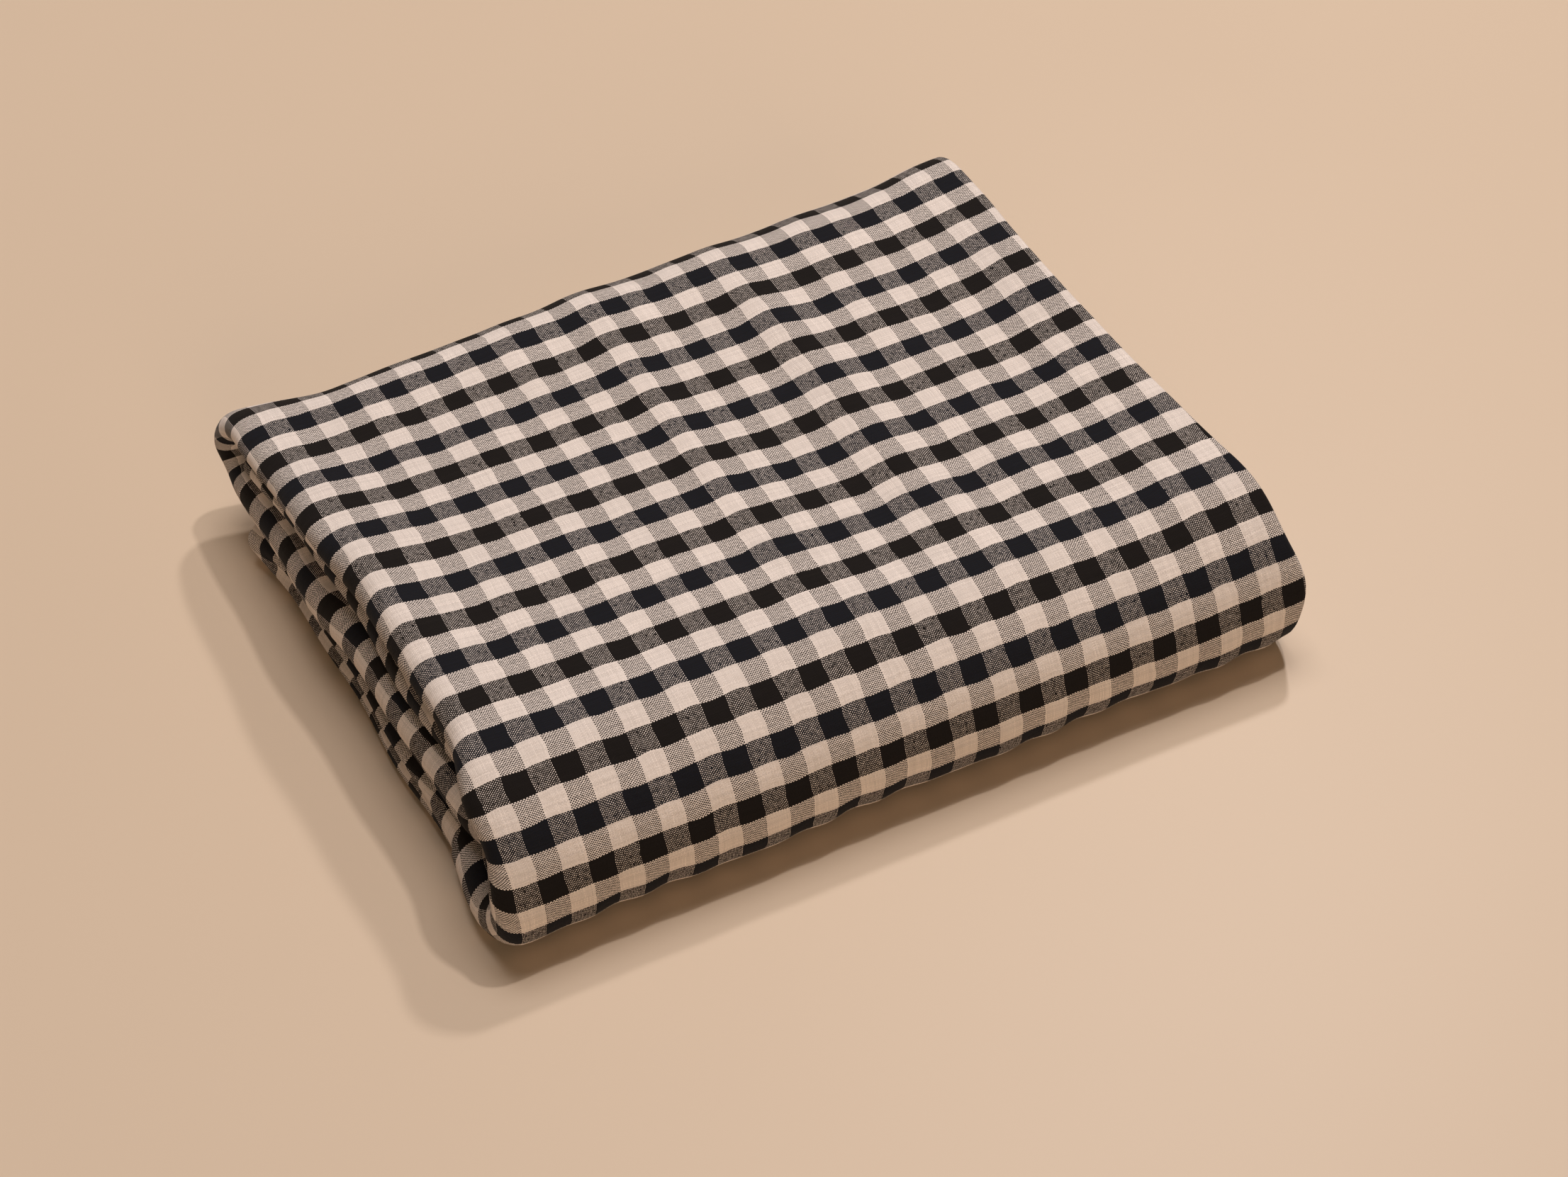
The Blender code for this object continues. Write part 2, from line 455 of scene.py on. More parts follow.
@dataclass(frozen=True)
class TableFinish:
    """Smooth pale laminate that the pack lies on."""

    name: str = "pale_table"
    colour: tuple = (0.735, 0.585, 0.450)
    shade: tuple = (0.700, 0.555, 0.425)
    roughness: float = 0.42
    specular: float = 0.3

    def build(self) -> bpy.types.Material:
        """Make the material.

        Returns:
            The finished material.
        """
        shader = Shader(self.name)
        place = shader.node("ShaderNodeTexCoord").outputs["Object"]
        cloud = shader.noise(place, 5.0, 4.0)
        top = shader.node("ShaderNodeBsdfPrincipled")
        shader.feed(top.inputs["Base Color"], shader.blend(cloud, self.colour, self.shade))
        top.inputs["Roughness"].default_value = self.roughness
        top.inputs["Specular IOR Level"].default_value = self.specular
        shader.feed(shader.output.inputs["Surface"], top.outputs["BSDF"])
        return shader.material


@dataclass(frozen=True)
class Turn:
    """One outline in the YZ plane that turns round a tip: straight, quarter, quarter, straight."""

    tip: float
    line: float
    low: float
    high: float
    tip_level: float
    lower_reach: float
    upper_reach: float
    power: float = 2.0
    ends: float = 0.1

    def points(self, share: np.ndarray) -> np.ndarray:
        """Points of the outline.

        Args:
            share: Numbers from 0, the lower end, to 1, the upper end.

        Returns:
            Y and Z of each point.
        """
        side = 1.0 if self.line > self.tip else -1.0
        sweep = (share - self.ends) / (1.0 - 2.0 * self.ends)
        entry = np.where(share < self.ends, (self.ends - share) / self.ends, 0.0)
        leave = share - (1.0 - self.ends)
        leave = np.where(leave > 0.0, leave / self.ends, 0.0)
        low_angle = np.clip(sweep * 2.0, 0.0, 1.0) * math.pi / 2
        high_angle = np.clip(sweep * 2.0 - 1.0, 0.0, 1.0) * math.pi / 2
        lower = share <= 0.5
        reach = np.where(lower, self.lower_reach, self.upper_reach)
        rise = np.where(lower, self.low - self.tip_level, self.high - self.tip_level)
        angle = np.where(lower, math.pi / 2 - low_angle, high_angle)
        bend = 2.0 / np.where(lower, 2.0, self.power)
        y = self.tip + side * reach * (1.0 - np.cos(angle) ** bend)
        z = self.tip_level + rise * np.sin(angle) ** bend
        y = y + entry * (self.line - y)
        y = y + leave * (self.line - y)
        return np.stack([y, z], axis=-1)


@dataclass(frozen=True)
class Levels:
    """Heights of the leaves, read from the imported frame."""

    bottom_low: float
    bottom_high: float
    middle_low: float
    middle_high: float
    core_low: float
    core_high: float
    top_low: float
    top_high: float
    front_line: float
    back_line: float
    tucked: float
    front_tip: float
    back_tip: float
    core_tip: float
    loop_tip: float

    @classmethod
    def from_frame(cls) -> "Levels":
        """Read the levels from the CAD nodes.

        Returns:
            The levels.
        """
        box = {name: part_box(name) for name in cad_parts}

        def low(node: str, axis: int) -> float:
            """Least value of a node's box."""
            return box[node][0][axis]

        def high(node: str, axis: int) -> float:
            """Greatest value of a node's box."""
            return box[node][1][axis]

        return cls(
            bottom_low=low("bottom_leaf_outer", 2), bottom_high=high("bottom_leaf_inner", 2),
            middle_low=low("middle_leaf_outer", 2), middle_high=high("middle_leaf_inner", 2),
            core_low=low("core_leaf_inner", 2), core_high=high("core_leaf_outer", 2),
            top_low=low("top_leaf_inner", 2), top_high=high("top_leaf_outer", 2),
            front_line=low("top_leaf_outer", 1), back_line=high("top_leaf_outer", 1),
            tucked=high("bottom_leaf_outer", 1), front_tip=low("front_wrap_outer", 1),
            back_tip=high("back_wrap_outer", 1), core_tip=low("core_turn_outer", 1),
            loop_tip=high("core_end_loop", 1))


@dataclass
class Section:
    """One run of the roll: matching samples of its outer and its inner outline."""

    run: Run
    outer: np.ndarray
    inner: np.ndarray

    def resampled(self, rows: int) -> "Section":
        """The section with evenly spaced samples along its outer outline.

        Args:
            rows: Number of samples.

        Returns:
            A new section.
        """
        steps = np.linalg.norm(np.diff(self.outer, axis=0), axis=1)
        length = np.concatenate([[0.0], np.cumsum(steps)])
        even = np.linspace(0.0, length[-1], rows)
        outer, inner = (np.stack([np.interp(even, length, line[:, i]) for i in (0, 1)], axis=-1)
                        for line in (self.outer, self.inner))
        return Section(self.run, outer, inner)


@dataclass
class RollPath:
    """The roll in the YZ plane, from the tucked selvedges to the core."""

    levels: Levels
    rows: dict = field(default_factory=lambda: {
        Run.BOTTOM: 42, Run.FRONT: 52, Run.TOP: 66, Run.BACK: 34,
        Run.MIDDLE: 42, Run.CORE_TURN: 16, Run.CORE: 24})
    fine_samples: int = 500
    leaf_samples: int = 200
    front_wall: float = 0.0118     # thickness of the front wrap at its tip
    loop_clearance: float = 0.0030
    core_hollow: float = 0.0054
    pressed: float = 0.0004        # rounding left inside the pressed core turn

    def straight(self, run: Run, start: float, end: float, outer: float,
                 inner: float) -> Section:
        """A flat leaf.

        Args:
            run: Which leaf.
            start: Y where the roll enters it.
            end: Y where the roll leaves it.
            outer: Height of its outer face.
            inner: Height of its inner face.

        Returns:
            The section.
        """
        y = np.linspace(start, end, self.leaf_samples)
        return Section(run, np.stack([y, np.full_like(y, outer)], axis=-1),
                       np.stack([y, np.full_like(y, inner)], axis=-1))

    def sections(self) -> list:
        """Every run of the roll, in order.

        Returns:
            Sections that share their end samples.
        """
        lv = self.levels
        share = np.linspace(0.0, 1.0, self.fine_samples)
        front_outer = Turn(lv.front_tip, lv.front_line, lv.bottom_low, lv.top_high,
                           tip_level=0.0140, lower_reach=0.0160, upper_reach=0.0345, power=1.9)
        front_inner = Turn(lv.front_tip + self.front_wall, lv.front_line, lv.bottom_high,
                           lv.top_low, tip_level=0.0195, lower_reach=0.0052,
                           upper_reach=0.0227)
        back_outer = Turn(lv.back_tip, lv.back_line, lv.middle_low, lv.top_high,
                          tip_level=0.0285, lower_reach=0.0175, upper_reach=0.0180)
        back_inner = Turn(lv.loop_tip + self.loop_clearance, lv.back_line, lv.middle_high,
                          lv.top_low, tip_level=0.0320, lower_reach=0.0062,
                          upper_reach=0.0062)
        core_outer = Turn(lv.core_tip, lv.front_line, lv.middle_low, lv.core_high,
                          tip_level=0.0232, lower_reach=0.0110, upper_reach=0.0160)
        core_inner = Turn(lv.front_line - self.core_hollow, lv.front_line, lv.middle_high,
                          lv.core_low, tip_level=0.5 * (lv.middle_high + lv.core_low),
                          lower_reach=self.pressed, upper_reach=self.pressed)
        made = [
            self.straight(Run.BOTTOM, lv.tucked, lv.front_line, lv.bottom_low, lv.bottom_high),
            Section(Run.FRONT, front_outer.points(share), front_inner.points(share)),
            self.straight(Run.TOP, lv.front_line, lv.back_line, lv.top_high, lv.top_low),
            Section(Run.BACK, back_outer.points(share[::-1]), back_inner.points(share[::-1])),
            self.straight(Run.MIDDLE, lv.back_line, lv.front_line, lv.middle_low,
                          lv.middle_high),
            Section(Run.CORE_TURN, core_outer.points(share), core_inner.points(share)),
            self.straight(Run.CORE, lv.front_line, lv.back_line, lv.core_high, lv.core_low),
        ]
        return [section.resampled(self.rows[section.run]) for section in made]


@dataclass(frozen=True)
class Pass:
    """One pass of the cloth through a leaf, and the bend that follows it."""

    layer: int
    heads_right: bool
    bend: Bend | None


def make_passes(layers: tuple) -> list:
    """The passes of one cloth, from cut edge to cut edge.

    Args:
        layers: The layer that each pass lies in, 0 outermost.

    Returns:
        The passes in order; the first one starts at the +X end.
    """
    bends = (Bend.SIDE, Bend.SECOND, Bend.SIDE, Bend.FIRST,
             Bend.SIDE, Bend.SECOND, Bend.SIDE, None)
    return [Pass(layer, index % 2 == 1, bend)
            for index, (layer, bend) in enumerate(zip(layers, bends))]


FACE_CLOTH = make_passes((11, 4, 3, 12, 15, 0, 7, 8))
BACK_CLOTH = make_passes((10, 5, 2, 13, 14, 1, 6, 9))


@dataclass(frozen=True)
class Ridge:
    """One soft ridge of the top, or a dip where its height is negative."""

    height: float
    x: float
    half_width: float
    y: float
    half_length: float

    def at(self, x: np.ndarray, y: np.ndarray) -> np.ndarray:
        """Height of the ridge at each place."""
        return self.height * bump(x, self.x, self.half_width) * bump(y, self.y, self.half_length)


RIDGES = (
    Ridge(height=0.0010, x=-0.0090, half_width=0.0055, y=0.020, half_length=0.060),
    Ridge(height=0.0017, x=0.0335, half_width=0.0070, y=0.032, half_length=0.055),
    Ridge(height=-0.0016, x=0.0180, half_width=0.0120, y=-0.008, half_length=0.050),
    Ridge(height=-0.0005, x=0.0500, half_width=0.0140, y=-0.010, half_length=0.060),
    Ridge(height=-0.0009, x=-0.0350, half_width=0.0330, y=0.026, half_length=0.030),
    Ridge(height=0.0009, x=-0.0550, half_width=0.0450, y=-0.022, half_length=0.045),
    Ridge(height=0.0012, x=-0.0880, half_width=0.0200, y=-0.048, half_length=0.035),
)


@dataclass
class Settling:
    """How the pack sags, leans and puckers: one smooth field for all the layers."""

    top: float
    depth: float
    back_slope: float = 0.022
    corner_reach: float = 0.0055
    ridge_lean: float = 0.03
    left_fold: Ridge = Ridge(height=0.0036, x=-0.0980, half_width=0.0130, y=0.006,
                             half_length=0.052)
    right_hump: Ridge = Ridge(height=0.0013, x=0.0990, half_width=0.0120, y=0.020,
                              half_length=0.028)
    right_fold: float = 0.0033
    right_back: float = 0.0015
    right_front: float = 0.0010
    corner_sink: float = 0.0052
    pucker_waves: int = 26
    pucker_height: float = 0.0030
    front_sag: float = 0.0002
    back_sag: float = 0.0001
    scallop: float = 0.00030
    hem_wave: float = 0.00045
    seed: int = 7

    def back_share(self, y: np.ndarray) -> np.ndarray:
        """How far a place has moved with the slanting back edge."""
        return smoothstep(-0.35 * self.depth, 0.36 * self.depth, y)

    def back_shift(self, x: np.ndarray) -> np.ndarray:
        """How far back the back edge lies: it slants, and its left corner reaches out."""
        return self.back_slope * x + self.corner_reach * smoothstep(0.078, 0.108, -x)

    def ridges(self, x: np.ndarray, y: np.ndarray) -> np.ndarray:
        """Soft ridges that run from front to back, and shallow dips between them."""
        return sum(ridge.at(x + self.ridge_lean * y, y) for ridge in RIDGES)

    def slopes(self, x: np.ndarray, y: np.ndarray) -> np.ndarray:
        """Thick side folds hold the edges up, and the loose back left corner sinks.

        Args:
            x: Places along X.
            y: Places along Y.

        Returns:
            Heights in metres.
        """
        right_fold = self.right_fold * smoothstep(0.080, 0.104, x)
        right_fold = right_fold * (0.55 + 0.45 * smoothstep(-0.060, 0.030, y))
        right_back = self.right_back * smoothstep(0.030, 0.090, x) * smoothstep(0.0, 0.060, y)
        right_front = (self.right_front * smoothstep(0.020, 0.090, x)
                       * smoothstep(0.020, 0.070, -y))
        corner = np.clip(-(x + 0.005) / 0.100, 0.0, 1.0) * smoothstep(0.005, 0.080, y)
        return (self.left_fold.at(x, y) + right_fold + right_back + self.right_hump.at(x, y)
                - right_front - self.corner_sink * corner)

    def puckers(self, x: np.ndarray, y: np.ndarray) -> np.ndarray:
        """Small slack waves of the outer cloth.

        Args:
            x: Places along X.
            y: Places along Y.

        Returns:
            Heights in metres.
        """
        rng = np.random.default_rng(self.seed)
        height = np.zeros_like(x)
        for _ in range(self.pucker_waves):
            angle = rng.normal(0.0, 0.55)
            wave = rng.uniform(0.011, 0.034)
            phase = rng.uniform(0.0, math.tau)
            turn = (x * math.cos(angle) + y * math.sin(angle)) * math.tau / wave
            height += rng.uniform(0.4, 1.0) * wave * np.sin(turn + phase)
        return height * self.pucker_height

    def apply(self, points: np.ndarray, depth_share: np.ndarray) -> np.ndarray:
        """Move points of the straight pack to where the settled pack has them.

        Args:
            points: Positions, with X, Y and Z along the last axis.
            depth_share: 0 for the outermost layer, 1 for the innermost.

        Returns:
            New positions.
        """
        x, y, z = points[..., 0], points[..., 1], points[..., 2]
        level = np.clip(z / self.top, 0.0, 1.0)
        lift = level ** 1.5
        height = (self.ridges(x, y) + self.slopes(x, y)) * lift
        height -= self.front_sag * bump(y, -0.071, 0.013) * lift
        height -= self.back_sag * bump(y, 0.078, 0.014) * lift
        loose = (1.0 - smoothstep(0.0, 0.30, depth_share))
        height += self.puckers(x, y) * lift * (0.35 + 0.65 * loose)
        new_y = y + self.back_share(y) * self.back_shift(x)
        hem = bump(z, 0.008, 0.010) * bump(y, -0.5 * self.depth, 0.030)
        scallops = np.sin(x * 395.0 + 0.6) + 0.7 * np.sin(x * 505.0 + 2.1)
        long_wave = np.sin(x * 98.0 + 2.1)
        new_y = new_y + hem * (self.scallop * scallops + self.hem_wave * long_wave)
        return np.stack([x, new_y, z + height], axis=-1)

    def pattern_shift(self, x: np.ndarray, y: np.ndarray, run: Run) -> np.ndarray:
        """How much longer the cloth's way is, at a place, where the back edge slants.

        Args:
            x: Places along X.
            y: Places along Y, in the straight pack.
            run: The run of the roll that the places are in.

        Returns:
            Extra length in metres.
        """
        extra = self.back_shift(x)
        share = self.back_share(y)
        factor = {Run.BOTTOM: -share, Run.FRONT: share, Run.TOP: share, Run.BACK: share,
                  Run.MIDDLE: 2.0 - share, Run.CORE_TURN: 2.0 - share, Run.CORE: 2.0 + share}
        return extra * factor[run]


@dataclass
class Edges:
    """Where the side folds and the cut edges of every run lie along X."""

    left: dict = field(default_factory=lambda: {
        Run.BOTTOM: (-0.1072, -0.058), Run.TOP: (-0.1042, -0.0640),
        Run.MIDDLE: (-0.1072, -0.058), Run.CORE: (-0.1032, -0.058)})
    right: dict = field(default_factory=lambda: {
        Run.BOTTOM: (0.1085, -0.02), Run.TOP: (0.1078, -0.0290), Run.MIDDLE: (0.1070, -0.02),
        Run.CORE: (0.1045, -0.02)})
    nose: dict = field(default_factory=lambda: {
        Run.BOTTOM: (0.50, 0.0), Run.TOP: (0.68, 0.0), Run.MIDDLE: (0.50, 0.0),
        Run.CORE: (0.50, 0.0)})
    between: dict = field(default_factory=lambda: {
        Run.FRONT: (Run.BOTTOM, Run.TOP), Run.BACK: (Run.TOP, Run.MIDDLE),
        Run.CORE_TURN: (Run.MIDDLE, Run.CORE)})
    flare: float = 0.0052          # how far the front right corner spreads
    inner_tuck: float = 0.0020     # how far the inner runs draw in at the front left
    front_reach: float = 0.0050    # how far the other runs reach out there
    foot_reach: float = 0.0012     # and the front wrap again near the table
    right_dent: float = 0.0022

    def line(self, table: dict, run: Run, y: np.ndarray, share: np.ndarray) -> np.ndarray:
        """Straight edge of a leaf, or the blend of two leaves' edges in a turn.

        Args:
            table: Base and slope of each leaf's edge.
            run: The run of the roll.
            y: Places along Y.
            share: How far along the run each place is.

        Returns:
            The edge at each place.
        """
        if run in self.between:
            first, last = self.between[run]
            ease = smoothstep(0.0, 1.0, share)
            return ((1.0 - ease) * self.line(table, first, y, share)
                    + ease * self.line(table, last, y, share))
        base, slope = table[run]
        return base + slope * y

    def at(self, run: Run, y: np.ndarray, z: np.ndarray, share: np.ndarray) -> tuple:
        """Left and right edge of a run.

        Args:
            run: The run of the roll.
            y: Y of its outer outline.
            z: Z of its outer outline.
            share: How far along the run each row is.

        Returns:
            X of the left fold, X of the right fold and roundness of the nose, row by row.
        """
        left = self.line(self.left, run, y, share)
        right = self.line(self.right, run, y, share)
        if run in (Run.MIDDLE, Run.CORE_TURN, Run.CORE):
            left = left + self.inner_tuck * smoothstep(0.036, 0.066, -y)
        else:
            left = left - self.front_reach * smoothstep(0.050, 0.078, -y)
        if run is Run.FRONT:
            left = left - self.foot_reach * bump(z, 0.006, 0.012)
        left = left + 0.0007 * np.sin(y * 61.0 + z * 190.0) + 0.0004 * np.sin(y * 143.0 + 1.3)
        right = right + self.flare * bump(y, -0.090, 0.030)
        right = right - self.right_dent * bump(y, 0.036, 0.034)
        right = right + 0.0008 * np.sin(y * 55.0 + z * 230.0 + 0.8)
        return left, right, self.line(self.nose, run, y, share)


@dataclass
class FoldedCloth:
    """One cloth of the doubled pair, from cut edge to cut edge, along the whole roll."""

    passes: list
    face_samples: int = 118
    hidden_samples: int = 26
    face_bend_samples: int = 12
    hidden_bend_samples: int = 6
    second_nose: float = 0.40      # rounding at +X, as a share of the thickness
    pinch_spread: float = 0.38
    bulge_power: float = 0.9

    def samples(self, layer: int) -> tuple:
        """Samples of a pass and of the bend after it; the layers that show have more."""
        if layer in FACE_LAYERS:
            return self.face_samples, self.face_bend_samples
        return self.hidden_samples, self.hidden_bend_samples

    def depth(self, layer: int) -> float:
        """Share of a leaf's thickness at which a layer lies."""
        return (layer + 0.5) / PLIES

    def bend_centre(self, bend: Bend) -> float:
        """Share of the thickness about which a bend turns.

        Args:
            bend: Kind of bend.

        Returns:
            The share, 0 at the outer face.
        """
        if bend is Bend.SIDE:
            return 0.5
        if bend is Bend.SECOND:
            return 0.25
        return 14.0 / PLIES

    def row(self, left: float, right: float, thickness: float, roundness: float,
            split: float, wander: np.ndarray) -> tuple:
        """One row of the cloth: X, share of the thickness and length along the cloth.

        Args:
            left: X of the outermost side fold.
            right: X of the outermost second fold.
            thickness: Thickness of the leaf here.
            roundness: Length of the side fold's rounding, as a share of the thickness.
            split: How deeply the side fold is pinched in its middle, from 0 to 1.
            wander: Offset of every layer's ends, in metres.

        Returns:
            Arrays of X, of the share of the thickness, and of the length so far.
        """
        xs: list = []
        ts: list = []
        nose = {Bend.SIDE: roundness * thickness, Bend.SECOND: self.second_nose * thickness,
                Bend.FIRST: self.second_nose * thickness}
        base_left = left + nose[Bend.SIDE]
        base_right = right - 0.5 * nose[Bend.SECOND]
        for step in self.passes:
            here = self.depth(step.layer)
            start, end = base_right, base_left
            if step.heads_right:
                start, end = base_left, base_right
            if step.bend is None:
                end = base_right + wander[step.layer]
            if step is self.passes[0]:
                start = base_right + wander[step.layer]
            count, bend_count = self.samples(step.layer)
            xs.append(np.linspace(start, end, count))
            ts.append(np.full(count, here))
            if step.bend is None:
                continue
            centre = self.bend_centre(step.bend)
            angle = np.linspace(0.0, math.pi, bend_count + 2)[1:-1]
            radius = abs(here - centre)
            side = -1.0 if step.bend is Bend.SIDE else 1.0
            bulge = radius * 2.0 * nose[step.bend]
            pinch = 1.0 - split * bump(angle, math.pi / 2, self.pinch_spread)
            if step.bend is not Bend.SIDE:
                pinch = np.ones_like(angle)
            xs.append(end + side * bulge * np.sin(angle) ** self.bulge_power * pinch)
            ts.append(centre + (here - centre) * np.cos(angle))
        x = np.concatenate(xs)
        t = np.concatenate(ts)
        length = np.concatenate([[0.0], np.cumsum(np.hypot(np.diff(x), np.diff(t) * thickness))])
        return x, t, length

    def face_start(self) -> int:
        """Index of the first sample of the pass nearest to the outer face.

        Returns:
            The index.
        """
        index = 0
        for step in self.passes:
            if step.layer < 2:
                return index
            index += sum(self.samples(step.layer))
        return 0


@dataclass
class ClothRoll:
    """The whole doubled cloth on the roll, cut into one sheet for each leaf and turn."""

    sections: list
    edges: Edges
    settling: Settling
    wander_seed: int = 3
    end_lean: tuple = (-0.0022, 0.0004)
    end_wave: float = 0.0003
    bottom_split: float = 0.62

    def wander(self, row: int) -> np.ndarray:
        """Uneven ends of the layers at the +X end.

        Args:
            row: Number of the row along the roll.

        Returns:
            Offset of each layer's end, in metres.
        """
        rng = np.random.default_rng(self.wander_seed)
        phase = rng.uniform(0.0, math.tau, PLIES)
        lean = rng.uniform(*self.end_lean, PLIES)
        return lean + self.end_wave * np.sin(row * 0.21 + phase)

    def grid(self, cloth: FoldedCloth) -> tuple:
        """Positions and pattern coordinates of one cloth along the whole roll.

        Args:
            cloth: The face cloth or the back cloth.

        Returns:
            Positions, UVs, and the first and last row of every run.
        """
        origin = self.roll_origin()
        points, uvs, spans = [], [], {}
        travelled = 0.0
        row_number = 0
        for section in self.sections:
            outer, inner = section.outer, section.inner
            steps = np.linalg.norm(np.diff(outer, axis=0), axis=1)
            length = travelled + np.concatenate([[0.0], np.cumsum(steps)])
            share = (length - travelled) / (length[-1] - travelled)
            travelled = length[-1]
            left, right, nose = self.edges.at(section.run, outer[:, 0], outer[:, 1], share)
            first = 0 if not points else 1
            spans[section.run] = (row_number - first, row_number - first + len(outer) - 1)
            for i in range(first, len(outer)):
                thickness = float(np.linalg.norm(outer[i] - inner[i]))
                split = self.split(section.run, float(outer[i, 0]))
                x, t, along = cloth.row(float(left[i]), float(right[i]), thickness,
                                        float(nose[i]), split, self.wander(row_number))
                y = outer[i, 0] + (inner[i, 0] - outer[i, 0]) * t
                z = outer[i, 1] + (inner[i, 1] - outer[i, 1]) * t
                base = np.stack([x, y, z], axis=-1)
                points.append(self.settling.apply(base, t))
                start = cloth.face_start()
                u = along - along[start] + x[start]
                extra = self.settling.pattern_shift(x, np.full_like(x, outer[i, 0]),
                                                    section.run)
                v = length[i] - origin + extra
                uvs.append(np.stack([u, v], axis=-1))
                row_number += 1
        return np.array(points), np.array(uvs), spans

    def split(self, run: Run, y: float) -> float:
        """How deeply the side fold of the bottom leaf parts into two lobes.

        Args:
            run: The run of the roll.
            y: Y of the row.

        Returns:
            0 for one round fold, towards 1 for two.
        """
        if run is not Run.BOTTOM:
            return 0.0
        near_back = smoothstep(0.066, 0.040, np.array(y))
        return self.bottom_split * float(near_back * smoothstep(-0.054, -0.010, np.array(y)))

    def roll_origin(self) -> float:
        """Length along the roll at which the pattern's V equals the frame's Y.

        Returns:
            The length in metres.
        """
        travelled = 0.0
        for section in self.sections:
            if section.run is Run.TOP:
                return travelled - float(section.outer[0, 0])
            travelled += float(np.sum(np.linalg.norm(np.diff(section.outer, axis=0), axis=1)))
        return travelled

    def normals(self, points: np.ndarray) -> np.ndarray:
        """Unit normals of a grid of points.

        Args:
            points: Rows along the roll, samples along the cloth.

        Returns:
            Unit vectors, one for each point.
        """
        across = np.gradient(points, axis=1)
        along = np.gradient(points, axis=0)
        normal = np.cross(across, along)
        size = np.linalg.norm(normal, axis=-1, keepdims=True)
        return normal / np.maximum(size, TINY)


@dataclass
class SheetMesher:
    """Turns grids of points into one closed, thin, smoothly shaded mesh."""

    name: str
    material: bpy.types.Material
    grids: list = field(default_factory=list)

    def add(self, points: np.ndarray, normals: np.ndarray, uvs: np.ndarray) -> None:
        """Add one patch of cloth to the sheet."""
        self.grids.append((points, normals, uvs))

    def build(self) -> bpy.types.Object:
        """Make the mesh object.

        Returns:
            The sheet, at the origin, unturned and unscaled.
        """
        verts, faces, face_uvs, face_normals = [], [], [], []
        base = 0
        for points, normals, uvs in self.grids:
            rows, columns = points.shape[:2]
            count = rows * columns
            half = normals * CLOTH_THICKNESS / 2
            verts += [(points + half).reshape(-1, 3), (points - half).reshape(-1, 3)]
            index = np.arange(count).reshape(rows, columns)
            quads = np.stack([index[:-1, :-1], index[:-1, 1:], index[1:, 1:], index[1:, :-1]],
                             axis=-1).reshape(-1, 4)
            flat_n = normals.reshape(-1, 3)
            flat_uv = uvs.reshape(-1, 2)
            faces.append(quads + base)
            face_normals.append(flat_n[quads])
            face_uvs.append(flat_uv[quads])
            back = quads[:, ::-1]
            faces.append(back + base + count)
            face_normals.append(-flat_n[back])
            face_uvs.append(flat_uv[back])
            ring = np.concatenate([index[0, :], index[1:, -1], index[-1, -2::-1],
                                   index[-2:0:-1, 0]])
            after = np.roll(ring, -1)
            rim = np.stack([after, ring, ring + count, after + count], axis=-1)
            flat = points.reshape(-1, 3)
            edge = flat[after] - flat[ring]
            out = np.cross(edge, flat_n[ring])
            out /= np.maximum(np.linalg.norm(out, axis=1, keepdims=True), TINY)
            faces.append(rim + base)
            face_normals.append(np.repeat(out[:, None, :], 4, axis=1))
            face_uvs.append(flat_uv[rim % count])
            base += 2 * count
        return self.assemble(np.concatenate(verts), np.concatenate(faces),
                             np.concatenate(face_uvs), np.concatenate(face_normals))

    def assemble(self, verts: np.ndarray, faces: np.ndarray, uvs: np.ndarray,
                 normals: np.ndarray) -> bpy.types.Object:
        """Fill a mesh with quads, UVs and normals.

        Args:
            verts: Positions.
            faces: Four vertex numbers for each face.
            uvs: Four UVs for each face.
            normals: Four normals for each face.

        Returns:
            The linked object.
        """
        mesh = bpy.data.meshes.new(self.name)
        mesh.vertices.add(len(verts))
        mesh.vertices.foreach_set("co", verts.astype(np.float32).ravel())
        mesh.loops.add(faces.size)
        mesh.loops.foreach_set("vertex_index", faces.astype(np.int32).ravel())
        mesh.polygons.add(len(faces))
        mesh.polygons.foreach_set("loop_start", np.arange(0, faces.size, 4, dtype=np.int32))
        mesh.update(calc_edges=True)
        mesh.validate()
        layer = mesh.uv_layers.new(name=UV_NAME)
        layer.data.foreach_set("uv", uvs.astype(np.float32).ravel())
        mesh.polygons.foreach_set("use_smooth", np.ones(len(faces), dtype=bool))
        mesh.normals_split_custom_set(normals.reshape(-1, 3).tolist())
        mesh.materials.append(self.material)
        obj = bpy.data.objects.new(self.name, mesh)
        bpy.context.scene.collection.objects.link(obj)
        return obj


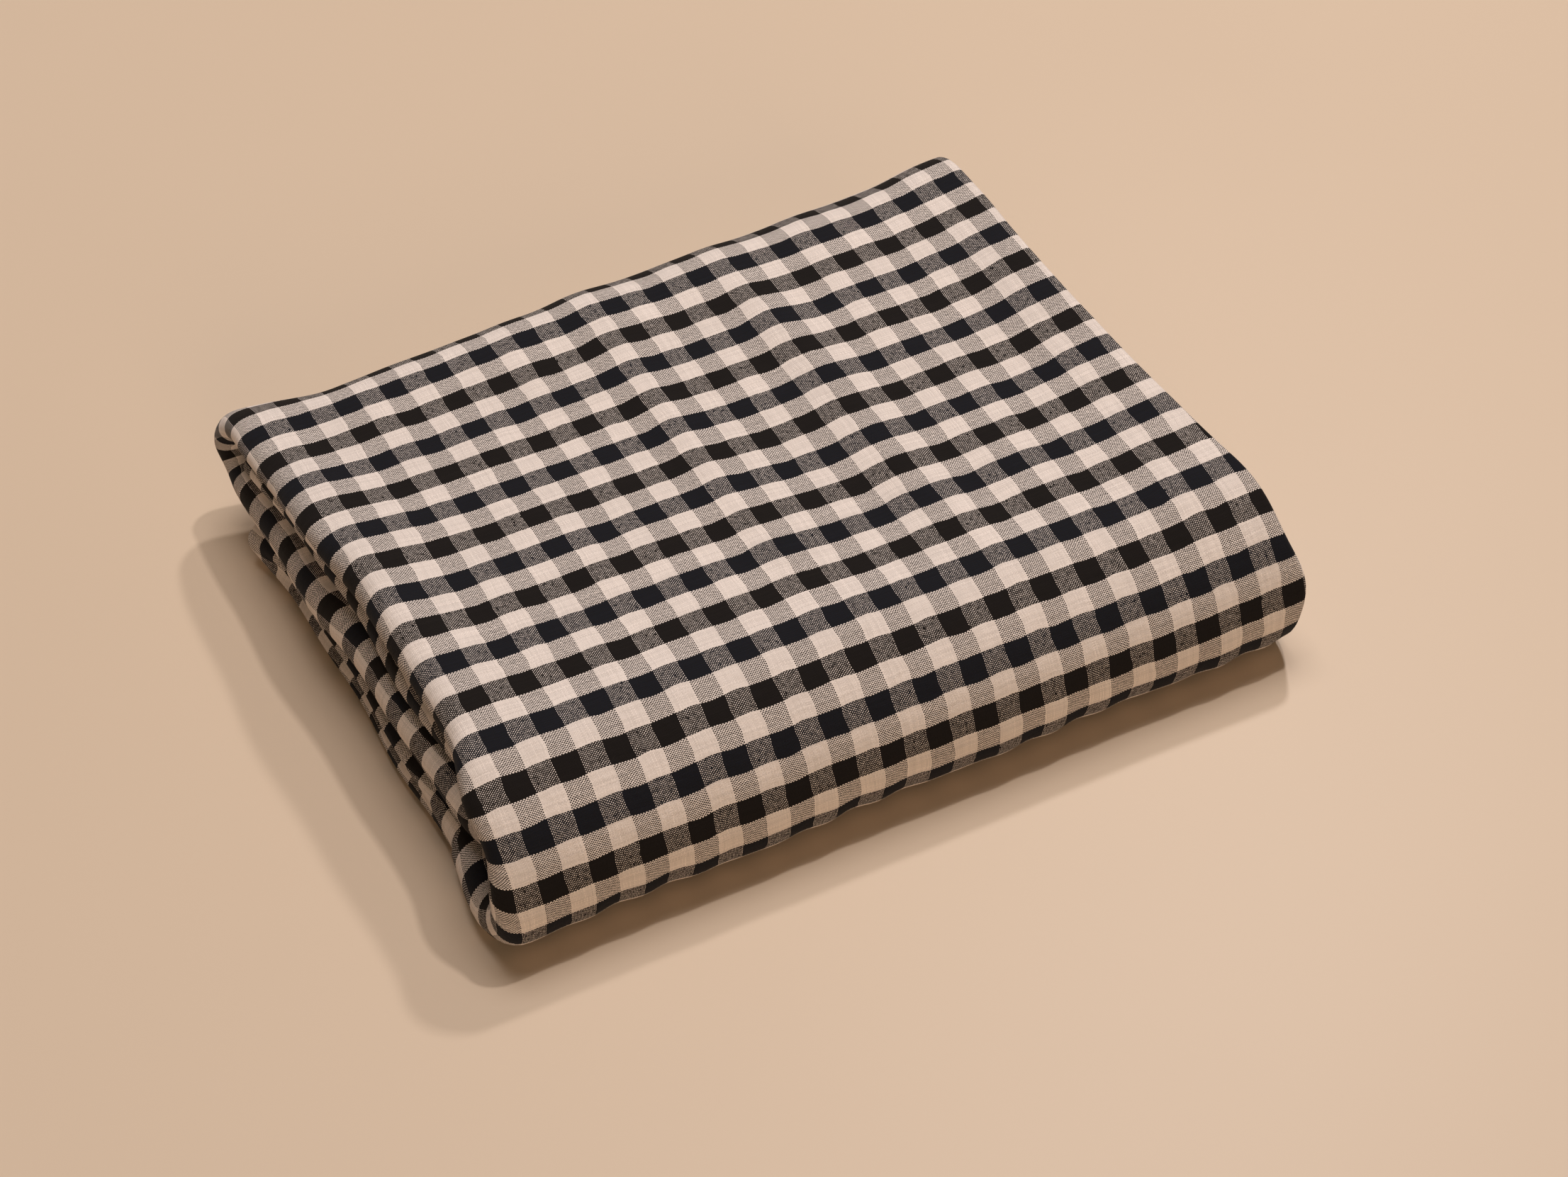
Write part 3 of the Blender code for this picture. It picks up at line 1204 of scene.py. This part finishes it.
@dataclass
class FoldedPack:
    """The folded length of gingham, leaf by leaf and turn by turn."""

    levels: Levels
    material: bpy.types.Material
    pieces: dict = field(default_factory=dict)

    def build(self) -> None:
        """Make every sheet of the pack and tie it to the frame."""
        path = RollPath(self.levels)
        sections = path.sections()
        size = [high - low for low, high in zip(*CAD_BOX)]
        settling = Settling(top=size[2], depth=size[1])
        roll = ClothRoll(sections, Edges(), settling)
        cloths = []
        for passes in (FACE_CLOTH, BACK_CLOTH):
            points, uvs, spans = roll.grid(FoldedCloth(passes))
            cloths.append((points, roll.normals(points), uvs, spans))
        shift = np.array(PATTERN_SHIFT) * CHECK
        for section in sections:
            mesher = SheetMesher(section.run.value, self.material)
            for points, normals, uvs, spans in cloths:
                first, last = spans[section.run]
                rows = slice(first, last + 1)
                mesher.add(points[rows], normals[rows], uvs[rows] + shift)
            piece = mesher.build()
            self.pieces[section.run] = piece
            self.tie(section.run, piece)

    def tie(self, run: Run, piece: bpy.types.Object) -> None:
        """Tie a sheet to the frame and hide the CAD nodes that it stands for.

        Args:
            run: The run of the roll.
            piece: The sheet.
        """
        nodes = [f"{run.value}_outer", f"{run.value}_inner"]
        if run is Run.CORE:
            nodes.append("core_end_loop")
        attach(piece, "root")
        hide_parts(*nodes)


@dataclass(frozen=True)
class Lamp:
    """One square soft light that points at the pack."""

    name: str
    place: tuple
    size: float
    watts: float
    colour: tuple = (1.0, 0.936, 0.894)
    aim: tuple = (0.0, 0.0, 0.02)

    def add(self) -> None:
        """Add the light to the scene."""
        data = bpy.data.lights.new(self.name, "AREA")
        data.size = self.size
        data.energy = self.watts
        data.color = self.colour
        lamp = bpy.data.objects.new(self.name, data)
        lamp.location = self.place
        towards = Vector(self.aim) - Vector(self.place)
        lamp.rotation_euler = towards.to_track_quat("-Z", "Y").to_euler()
        bpy.context.scene.collection.objects.link(lamp)


LAMPS = (
    Lamp("key", (0.59, 0.15, 1.90), size=0.08, watts=9.4),
    Lamp("second", (0.90, 0.80, 1.60), size=0.12, watts=9.9),
    Lamp("overhead", (0.10, 0.42, 2.00), size=0.9, watts=15.4),
    Lamp("front_fill", (-0.60, -4.50, 1.50), size=2.4, watts=52.0, colour=(1.0, 0.76, 0.53)),
)


@dataclass
class Studio:
    """Camera, floor and lights."""

    azimuth: float = -26.7346
    elevation: float = 46.0114
    roll: float = -0.5232
    distance: float = 0.7290
    target: tuple = (-0.01049, -0.04485, 0.0449)
    lens: float = 69.28
    sensor: float = 36.0
    clip_start: float = 0.01
    floor_size: float = 6.0
    air_colour: tuple = (1.0, 0.75, 0.50, 1.0)
    air_strength: float = 0.10

    def direction(self) -> Vector:
        """Unit vector from the target to the camera.

        Returns:
            The vector.
        """
        turn, tilt = math.radians(self.azimuth), math.radians(self.elevation)
        return Vector((math.sin(turn) * math.cos(tilt), -math.cos(turn) * math.cos(tilt),
                       math.sin(tilt)))

    def add_camera(self) -> None:
        """Add the camera and make it the scene's."""
        back = self.direction()
        side = Vector((0.0, 0.0, 1.0)).cross(back).normalized()
        up = back.cross(side)
        roll = math.radians(self.roll)
        right = side * math.cos(roll) + up * math.sin(roll)
        top = up * math.cos(roll) - side * math.sin(roll)
        data = bpy.data.cameras.new("camera")
        data.lens = self.lens
        data.sensor_width = self.sensor
        data.clip_start = self.clip_start
        camera = bpy.data.objects.new("camera", data)
        turn = Matrix((right, top, back)).transposed().to_4x4()
        place = Vector(self.target) + back * self.distance
        camera.matrix_world = Matrix.Translation(place) @ turn
        bpy.context.scene.collection.objects.link(camera)
        bpy.context.scene.camera = camera

    def add_floor(self) -> None:
        """Add the pale floor."""
        bpy.ops.object.select_all(action="DESELECT")
        bpy.ops.mesh.primitive_plane_add(size=self.floor_size, location=(0.0, 0.0, 0.0))
        floor = bpy.context.object
        floor.name = "floor"
        floor.data.materials.append(TableFinish().build())

    def build(self) -> None:
        """Set the whole stage."""
        scene = bpy.context.scene
        scene.view_settings.view_transform = "Standard"
        world = bpy.data.worlds.new("studio")
        world.use_nodes = True
        background = world.node_tree.nodes["Background"]
        background.inputs["Color"].default_value = self.air_colour
        background.inputs["Strength"].default_value = self.air_strength
        scene.world = world
        self.add_camera()
        self.add_floor()
        for lamp in LAMPS:
            lamp.add()


def main() -> None:
    """Build the studio and the pack."""
    logging.basicConfig(level=logging.INFO, format="%(name)s %(message)s")
    Studio().build()
    log.info("studio ready")
    pack = FoldedPack(Levels.from_frame(), GinghamFinish().build())
    pack.build()
    log.info("sizes written")


if __name__ == "__main__":
    main()
